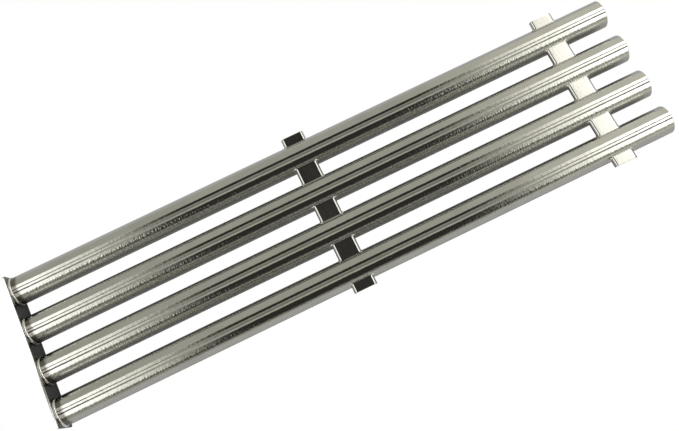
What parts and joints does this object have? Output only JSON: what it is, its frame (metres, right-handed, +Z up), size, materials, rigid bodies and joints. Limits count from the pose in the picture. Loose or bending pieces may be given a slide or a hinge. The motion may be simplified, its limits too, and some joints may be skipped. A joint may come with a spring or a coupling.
{
  "type": "multi-tube gas burner assembly",
  "caption": "Flat burner of parallel round steel tubes welded side by side to an inlet plate, joined by short channel bridges, with support tabs at both sides.",
  "frame": {"origin": "centre of the assembly's bounding box in X and Y, at the height of its base", "axes": "+X along the tubes from the inlet plate to the closed ends, +Y across the tubes towards tube 1, +Z up, out of the side with the flat channel tops; the tubes' port slots face -Z"},
  "size_m": [0.5768, 0.151, 0.0272],
  "materials": {
    "tube_steel": "bright drawn stainless tube with faint lengthwise streaks and a light orange peel",
    "channel_steel": "bright cold rolled sheet with rounded folded edges",
    "plate_steel": "satin sheet with sheared bright edges",
    "cap_steel": "satin pressed sheet",
    "weld_steel": "bright weld bead, faintly rippled"
  },
  "bodies": {
    "root": {"burner_tube_1": "tube_steel", "burner_tube_2": "tube_steel", "burner_tube_3": "tube_steel", "burner_tube_4": "tube_steel", "inlet_plate": "plate_steel", "tube_collar_1": "weld_steel", "tube_collar_2": "weld_steel", "tube_collar_3": "weld_steel", "tube_collar_4": "weld_steel", "end_cap_1": "cap_steel", "end_cap_2": "cap_steel", "end_cap_3": "cap_steel", "end_cap_4": "cap_steel", "mid_bridge_1_2": "channel_steel", "mid_bridge_2_3": "channel_steel", "mid_bridge_3_4": "channel_steel", "mid_tab_left": "channel_steel", "mid_tab_right": "channel_steel", "end_bridge_1_2": "channel_steel", "end_bridge_2_3": "channel_steel", "end_bridge_3_4": "channel_steel", "end_tab_left": "channel_steel", "end_tab_right": "channel_steel"}
  },
  "joints": []
}
